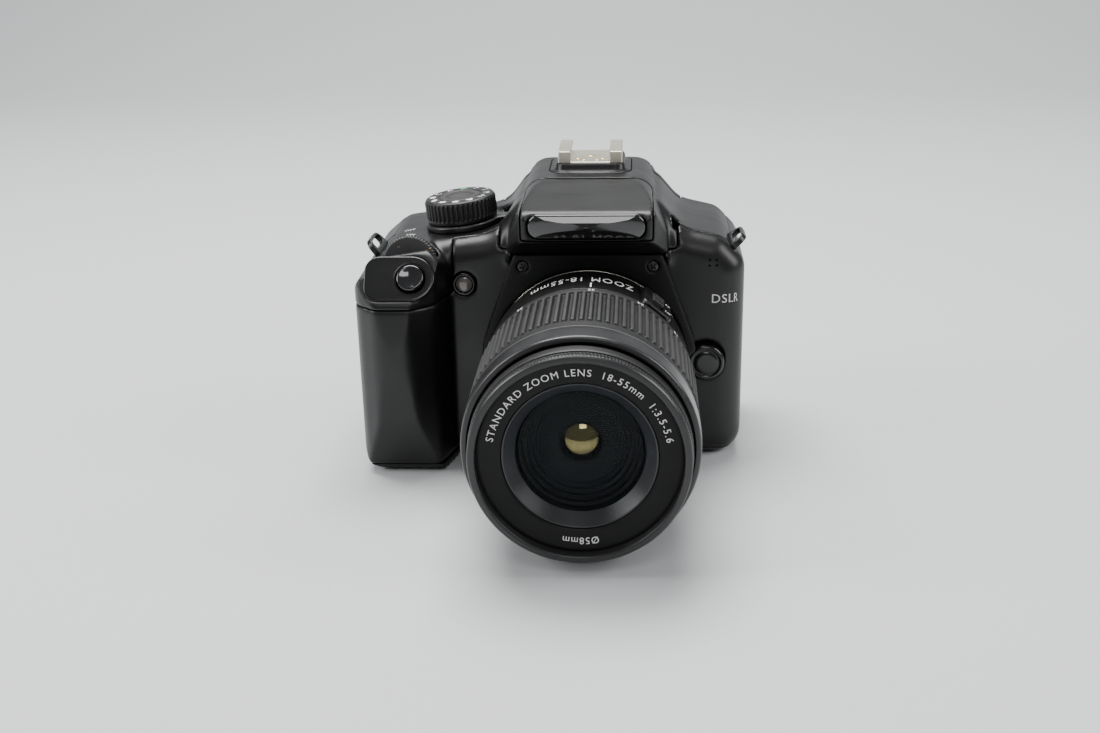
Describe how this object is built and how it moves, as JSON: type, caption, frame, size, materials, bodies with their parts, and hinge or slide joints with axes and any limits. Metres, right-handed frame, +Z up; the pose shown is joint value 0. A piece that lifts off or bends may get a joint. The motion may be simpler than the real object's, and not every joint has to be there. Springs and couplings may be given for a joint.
{
  "type": "dslr camera",
  "caption": "Black single-lens reflex camera body with hand grip, pop-up flash and a short zoom lens whose rings, dials, keys, doors, mirror and shutter all move.",
  "frame": {"origin": "mouth of the tripod socket in the base plane, below the lens axis", "axes": "+Z up, -Y the way the lens looks, -X towards the hand grip"},
  "size_m": [0.1267, 0.1423, 0.0997],
  "materials": {
    "body_plastic": "fine matte texture",
    "key_plastic": "satin",
    "gloss_black": "polished",
    "rubber": "matte",
    "steel": "polished",
    "glass": "coated",
    "mirror": "silvered",
    "electronics": "satin"
  },
  "bodies": {
    "body": {"battery": "body_plastic", "bottom_cover": "body_plastic", "eyecup": "rubber", "eyepiece_lens": "glass", "focusing_screen": "glass", "front_band": "body_plastic", "front_cover": "body_plastic", "front_panel": "body_plastic", "hot_shoe": "steel", "image_sensor": "electronics", "lcd_panel": "electronics", "lcd_window": "glass", "lens_barrel": "body_plastic", "lens_bayonet": "steel", "main_board": "electronics", "mirror_box": "body_plastic", "mount_ring": "steel", "pentaprism": "body_plastic", "rear_cover": "body_plastic", "rear_element": "glass", "screws": "steel", "self_timer_lamp": "glass", "shutter_surround": "gloss_black", "shutter_unit": "body_plastic", "strap_lugs": "steel", "top_cover": "body_plastic", "tripod_socket": "steel"},
    "mode_dial": {"mode_dial": "body_plastic"},
    "power_switch": {"power_switch": "body_plastic"},
    "main_dial": {"main_dial": "body_plastic"},
    "shutter_button": {"shutter_button": "gloss_black"},
    "flash_head": {"flash_head": "body_plastic", "flash_window": "glass", "flash_plate": "gloss_black"},
    "flash_button": {"flash_button": "body_plastic"},
    "release_button": {"release_button": "body_plastic"},
    "lock_pin": {"lock_pin": "steel"},
    "reflex_mirror": {"reflex_mirror": "mirror"},
    "sub_mirror": {"sub_mirror": "mirror"},
    "shutter_curtain": {"shutter_curtain": "body_plastic"},
    "dioptre_knob": {"dioptre_knob": "body_plastic"},
    "battery_door": {"battery_door": "body_plastic"},
    "terminal_cover": {"terminal_cover": "rubber"},
    "zoom_ring": {"zoom_ring": "rubber"},
    "inner_barrel": {"inner_barrel": "body_plastic"},
    "front_cell": {"front_element": "glass"},
    "focus_ring": {"focus_ring": "body_plastic", "name_ring": "gloss_black"},
    "af_switch": {"af_switch": "body_plastic"},
    "ae_lock_button": {"ae_lock_button": "key_plastic"},
    "erase_button": {"erase_button": "key_plastic"},
    "exposure_button": {"exposure_button": "key_plastic"},
    "live_view_button": {"live_view_button": "key_plastic"},
    "menu_button": {"menu_button": "key_plastic"},
    "pad_down_button": {"pad_down_button": "key_plastic"},
    "pad_left_button": {"pad_left_button": "key_plastic"},
    "pad_right_button": {"pad_right_button": "key_plastic"},
    "pad_up_button": {"pad_up_button": "key_plastic"},
    "play_button": {"play_button": "key_plastic"},
    "set_button": {"set_button": "key_plastic"}
  },
  "joints": [
    {"name": "mode_dial_turn", "type": "hinge", "parent": "body", "child": "mode_dial", "pos_m": [-0.0429, 0.003, 0.0758], "axis": [-0.1045, 0, 0.9945], "continuous": true},
    {"name": "power_switch_turn", "type": "hinge", "parent": "body", "child": "power_switch", "pos_m": [-0.0429, 0.003, 0.0758], "axis": [-0.1045, 0, 0.9945], "range_deg": [0, 40]},
    {"name": "main_dial_turn", "type": "hinge", "parent": "body", "child": "main_dial", "pos_m": [-0.0575, -0.0232, 0.0696], "axis": [0, -0.9397, 0.3419], "continuous": true},
    {"name": "shutter_button_press", "type": "slide", "parent": "body", "child": "shutter_button", "axis": [0, 0.795, -0.6067], "range_m": [0, 0.0012], "stiffness_N_per_m": 600},
    {"name": "flash_pop_up", "type": "hinge", "parent": "body", "child": "flash_head", "pos_m": [0, -0.005, 0.0913], "axis": [-1, 0, 0], "range_deg": [0, 60]},
    {"name": "flash_button_press", "type": "slide", "parent": "body", "child": "flash_button", "axis": [-0.9927, 0, -0.1203], "range_m": [0, 0.0008], "stiffness_N_per_m": 600},
    {"name": "release_press", "type": "slide", "parent": "body", "child": "release_button", "axis": [0, 1, 0], "range_m": [0, 0.0025], "stiffness_N_per_m": 600},
    {"name": "lock_pin_retract", "type": "slide", "parent": "body", "child": "lock_pin", "axis": [0, 1, 0], "range_m": [0, 0.0025]},
    {"name": "mirror_swing", "type": "hinge", "parent": "body", "child": "reflex_mirror", "pos_m": [0, 0.0106, 0.0494], "axis": [-1, 0, 0], "range_deg": [0, 45]},
    {"name": "sub_mirror_fold", "type": "hinge", "parent": "reflex_mirror", "child": "sub_mirror", "pos_m": [0, 0.00218, 0.03872], "axis": [-1, 0, 0], "range_deg": [0, 90]},
    {"name": "curtain_run", "type": "slide", "parent": "body", "child": "shutter_curtain", "axis": [0, 0, -1], "range_m": [0, 0.0172]},
    {"name": "dioptre_turn", "type": "hinge", "parent": "body", "child": "dioptre_knob", "pos_m": [-0.022, 0.0336, 0.081], "axis": [0, 1, 0], "range_deg": [-60, 60]},
    {"name": "battery_door_swing", "type": "hinge", "parent": "body", "child": "battery_door", "pos_m": [-0.0514, -0.008, 0.001], "axis": [0, -1, 0], "range_deg": [0, 95]},
    {"name": "terminal_cover_swing", "type": "hinge", "parent": "body", "child": "terminal_cover", "pos_m": [0.0526, -0.002, 0.039], "axis": [0, 0, -1], "range_deg": [0, 110]},
    {"name": "zoom_turn", "type": "hinge", "parent": "body", "child": "zoom_ring", "pos_m": [0, -0.026, 0.0364], "axis": [0, -1, 0], "range_deg": [0, 38]},
    {"name": "zoom_extend", "type": "slide", "parent": "body", "child": "inner_barrel", "axis": [0, -1, 0], "range_m": [0, 0.013]},
    {"name": "focus_extend", "type": "slide", "parent": "inner_barrel", "child": "front_cell", "axis": [0, -1, 0], "range_m": [0, 0.0043]},
    {"name": "focus_turn", "type": "hinge", "parent": "front_cell", "child": "focus_ring", "pos_m": [0, -0.026, 0.0364], "axis": [0, -1, 0], "range_deg": [0, 80]},
    {"name": "af_switch_slide", "type": "slide", "parent": "body", "child": "af_switch", "axis": [0, -1, 0], "range_m": [0, 0.004]},
    {"name": "ae_lock_press", "type": "slide", "parent": "body", "child": "ae_lock_button", "axis": [0, -1, 0], "range_m": [0, 0.0006], "stiffness_N_per_m": 400},
    {"name": "erase_press", "type": "slide", "parent": "body", "child": "erase_button", "axis": [0, -1, 0], "range_m": [0, 0.0006], "stiffness_N_per_m": 400},
    {"name": "exposure_press", "type": "slide", "parent": "body", "child": "exposure_button", "axis": [0, -1, 0], "range_m": [0, 0.0006], "stiffness_N_per_m": 400},
    {"name": "live_view_press", "type": "slide", "parent": "body", "child": "live_view_button", "axis": [0, -1, 0], "range_m": [0, 0.0006], "stiffness_N_per_m": 400},
    {"name": "menu_press", "type": "slide", "parent": "body", "child": "menu_button", "axis": [0, -1, 0], "range_m": [0, 0.0006], "stiffness_N_per_m": 400},
    {"name": "pad_down_press", "type": "slide", "parent": "body", "child": "pad_down_button", "axis": [0, -1, 0], "range_m": [0, 0.0006], "stiffness_N_per_m": 400},
    {"name": "pad_left_press", "type": "slide", "parent": "body", "child": "pad_left_button", "axis": [0, -1, 0], "range_m": [0, 0.0006], "stiffness_N_per_m": 400},
    {"name": "pad_right_press", "type": "slide", "parent": "body", "child": "pad_right_button", "axis": [0, -1, 0], "range_m": [0, 0.0006], "stiffness_N_per_m": 400},
    {"name": "pad_up_press", "type": "slide", "parent": "body", "child": "pad_up_button", "axis": [0, -1, 0], "range_m": [0, 0.0006], "stiffness_N_per_m": 400},
    {"name": "play_press", "type": "slide", "parent": "body", "child": "play_button", "axis": [0, -1, 0], "range_m": [0, 0.0006], "stiffness_N_per_m": 400},
    {"name": "set_press", "type": "slide", "parent": "body", "child": "set_button", "axis": [0, -1, 0], "range_m": [0, 0.0006], "stiffness_N_per_m": 400}
  ],
  "couplings": [
    {"joint": "zoom_extend", "follows": "zoom_turn", "m_per_rad": 0.0195},
    {"joint": "focus_extend", "follows": "focus_turn", "m_per_rad": 0.003},
    {"joint": "sub_mirror_fold", "follows": "mirror_swing", "ratio": 2},
    {"joint": "lock_pin_retract", "follows": "release_press", "ratio": 1}
  ]
}
